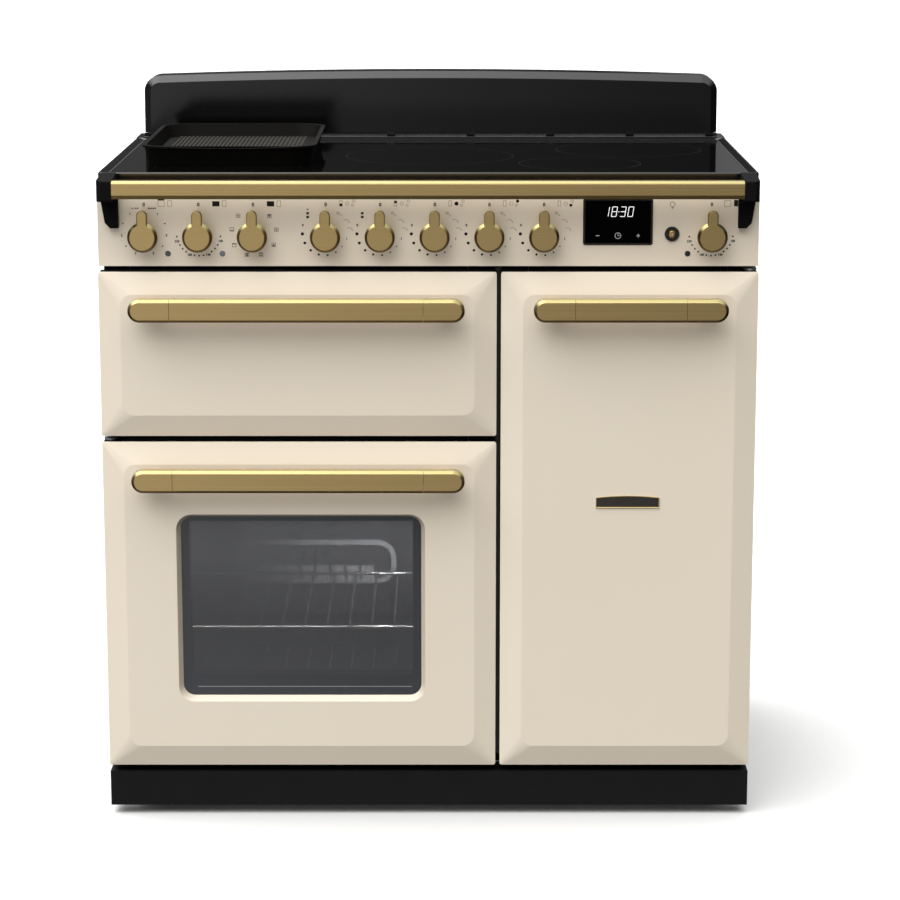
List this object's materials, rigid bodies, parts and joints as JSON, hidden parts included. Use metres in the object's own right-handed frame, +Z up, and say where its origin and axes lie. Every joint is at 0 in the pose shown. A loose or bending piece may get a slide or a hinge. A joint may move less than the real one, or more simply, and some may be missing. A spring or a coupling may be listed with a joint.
{
  "type": "induction range cooker",
  "caption": "Free-standing induction range cooker with a drop-down grill, side-hung ovens, lever knobs, a handrail, a griddle and a low splashback.",
  "frame": {"origin": "on the floor, under the middle of the cooker's box", "axes": "+X to the right seen from the front, +Y to the rear, +Z up"},
  "size_m": [0.9, 0.65, 1.0045],
  "materials": {
    "cream_enamel": "gloss",
    "black_enamel": "gloss",
    "oven_enamel": "gloss",
    "grey_steel": "satin",
    "zinc_steel": "satin",
    "brass": "satin",
    "bright_wire": "polished",
    "element_steel": "satin",
    "hob_glass": "gloss",
    "window_glass": "gloss",
    "clear_glass": "gloss",
    "black_plastic": "satin",
    "display_black": "gloss",
    "lens": "gloss",
    "seal_rubber": "matte",
    "roller_nylon": "matte",
    "copper": "satin",
    "cast_aluminium": "satin",
    "heat_sink": "satin"
  },
  "bodies": {
    "chassis": {"base_tray": "zinc_steel", "side_panels": "grey_steel", "rear_panel": "zinc_steel", "plinth": "black_enamel", "front_frame": "black_enamel", "fascia": "cream_enamel", "rail_brackets": "black_enamel", "handrail": "brass", "hob_frame": "black_enamel", "hob_glass": "hob_glass", "splashback": "black_enamel", "vent_trim": "black_enamel", "coil_tray": "zinc_steel", "induction_coils": "copper", "power_boards": "heat_sink", "grill_liner": "oven_enamel", "heating_elements": "element_steel", "left_oven_liner": "oven_enamel", "right_oven_liner": "oven_enamel", "fan_baffles": "oven_enamel", "left_oven_racks": "bright_wire", "right_oven_racks": "bright_wire", "left_oven_shelves": "bright_wire", "right_oven_shelves": "bright_wire", "oven_lamps": "clear_glass", "door_seals": "seal_rubber", "control_switches": "black_plastic", "clock_module": "display_black", "fan_motors": "zinc_steel", "levelling_feet": "black_plastic", "hinge_brackets": "zinc_steel", "terminal_box": "black_plastic", "indicator_lamps": "lens"},
    "grill_door": {"grill_door_panel": "cream_enamel", "grill_door_liner": "black_enamel", "grill_door_handle": "brass"},
    "left_door": {"left_door_panel": "cream_enamel", "left_door_liner": "black_enamel", "left_door_glass": "window_glass", "left_door_handle": "brass"},
    "right_door": {"right_door_panel": "cream_enamel", "right_door_liner": "black_enamel", "right_door_handle": "brass"},
    "light_button": {"light_button": "brass"},
    "grill_pan": {"grill_pan": "oven_enamel", "grill_trivet": "bright_wire"},
    "griddle": {"griddle": "cast_aluminium"},
    "left_fan": {"left_fan": "zinc_steel"},
    "right_fan": {"right_fan": "zinc_steel"},
    "roller_left": {"roller_left": "roller_nylon"},
    "roller_right": {"roller_right": "roller_nylon"},
    "knob_grill": {"knob_grill": "brass"},
    "knob_left_temperature": {"knob_left_temperature": "brass"},
    "knob_left_function": {"knob_left_function": "brass"},
    "knob_hob_1": {"knob_hob_1": "brass"},
    "knob_hob_2": {"knob_hob_2": "brass"},
    "knob_hob_3": {"knob_hob_3": "brass"},
    "knob_hob_4": {"knob_hob_4": "brass"},
    "knob_hob_5": {"knob_hob_5": "brass"},
    "knob_right_temperature": {"knob_right_temperature": "brass"}
  },
  "joints": [
    {"name": "grill_door_hinge", "type": "hinge", "parent": "chassis", "child": "grill_door", "pos_m": [-0.178, -0.267, 0.5595], "axis": [1, 0, 0], "range_deg": [0, 90], "stiffness_Nm_per_rad": 2.5, "springref_deg": -45.84},
    {"name": "left_door_hinge", "type": "hinge", "parent": "chassis", "child": "left_door", "pos_m": [-0.439, -0.26, 0.305], "axis": [0, 0, -1], "range_deg": [0, 100]},
    {"name": "right_door_hinge", "type": "hinge", "parent": "chassis", "child": "right_door", "pos_m": [0.439, -0.26, 0.423], "axis": [0, 0, 1], "range_deg": [0, 100]},
    {"name": "grill_pan_slide", "type": "slide", "parent": "chassis", "child": "grill_pan", "axis": [0, -1, 0], "range_m": [0, 0.16]},
    {"name": "griddle_lift", "type": "slide", "parent": "chassis", "child": "griddle", "axis": [0, 0, 1], "range_m": [0, 0.15]},
    {"name": "light_button_press", "type": "slide", "parent": "chassis", "child": "light_button", "axis": [0, 1, 0], "range_m": [0, 0.003], "stiffness_N_per_m": 700},
    {"name": "left_fan_spin", "type": "hinge", "parent": "chassis", "child": "left_fan", "pos_m": [-0.178, 0.2, 0.30525], "axis": [0, 1, 0], "continuous": true},
    {"name": "right_fan_spin", "type": "hinge", "parent": "chassis", "child": "right_fan", "pos_m": [0.274, 0.2, 0.423], "axis": [0, 1, 0], "continuous": true},
    {"name": "roller_left_roll", "type": "hinge", "parent": "chassis", "child": "roller_left", "pos_m": [-0.386, 0.257, 0.023], "axis": [1, 0, 0], "continuous": true},
    {"name": "roller_right_roll", "type": "hinge", "parent": "chassis", "child": "roller_right", "pos_m": [0.386, 0.257, 0.023], "axis": [1, 0, 0], "continuous": true},
    {"name": "knob_grill_turn", "type": "hinge", "parent": "chassis", "child": "knob_grill", "pos_m": [-0.386, -0.285, 0.8215], "axis": [0, 1, 0], "range_deg": [-150, 150]},
    {"name": "knob_left_temperature_turn", "type": "hinge", "parent": "chassis", "child": "knob_left_temperature", "pos_m": [-0.312, -0.285, 0.8215], "axis": [0, 1, 0], "range_deg": [0, 270]},
    {"name": "knob_left_function_turn", "type": "hinge", "parent": "chassis", "child": "knob_left_function", "pos_m": [-0.238, -0.285, 0.8215], "axis": [0, 1, 0], "continuous": true},
    {"name": "knob_hob_1_turn", "type": "hinge", "parent": "chassis", "child": "knob_hob_1", "pos_m": [-0.1394, -0.285, 0.8215], "axis": [0, 1, 0], "range_deg": [0, 300]},
    {"name": "knob_hob_2_turn", "type": "hinge", "parent": "chassis", "child": "knob_hob_2", "pos_m": [-0.0654, -0.285, 0.8215], "axis": [0, 1, 0], "range_deg": [0, 300]},
    {"name": "knob_hob_3_turn", "type": "hinge", "parent": "chassis", "child": "knob_hob_3", "pos_m": [0.0086, -0.285, 0.8215], "axis": [0, 1, 0], "range_deg": [0, 300]},
    {"name": "knob_hob_4_turn", "type": "hinge", "parent": "chassis", "child": "knob_hob_4", "pos_m": [0.0826, -0.285, 0.8215], "axis": [0, 1, 0], "range_deg": [0, 300]},
    {"name": "knob_hob_5_turn", "type": "hinge", "parent": "chassis", "child": "knob_hob_5", "pos_m": [0.1566, -0.285, 0.8215], "axis": [0, 1, 0], "range_deg": [0, 300]},
    {"name": "knob_right_temperature_turn", "type": "hinge", "parent": "chassis", "child": "knob_right_temperature", "pos_m": [0.384, -0.285, 0.8215], "axis": [0, 1, 0], "range_deg": [0, 270]}
  ],
  "couplings": [
    {"joint": "grill_pan_slide", "follows": "grill_door_hinge", "m_per_rad": 0.1}
  ]
}
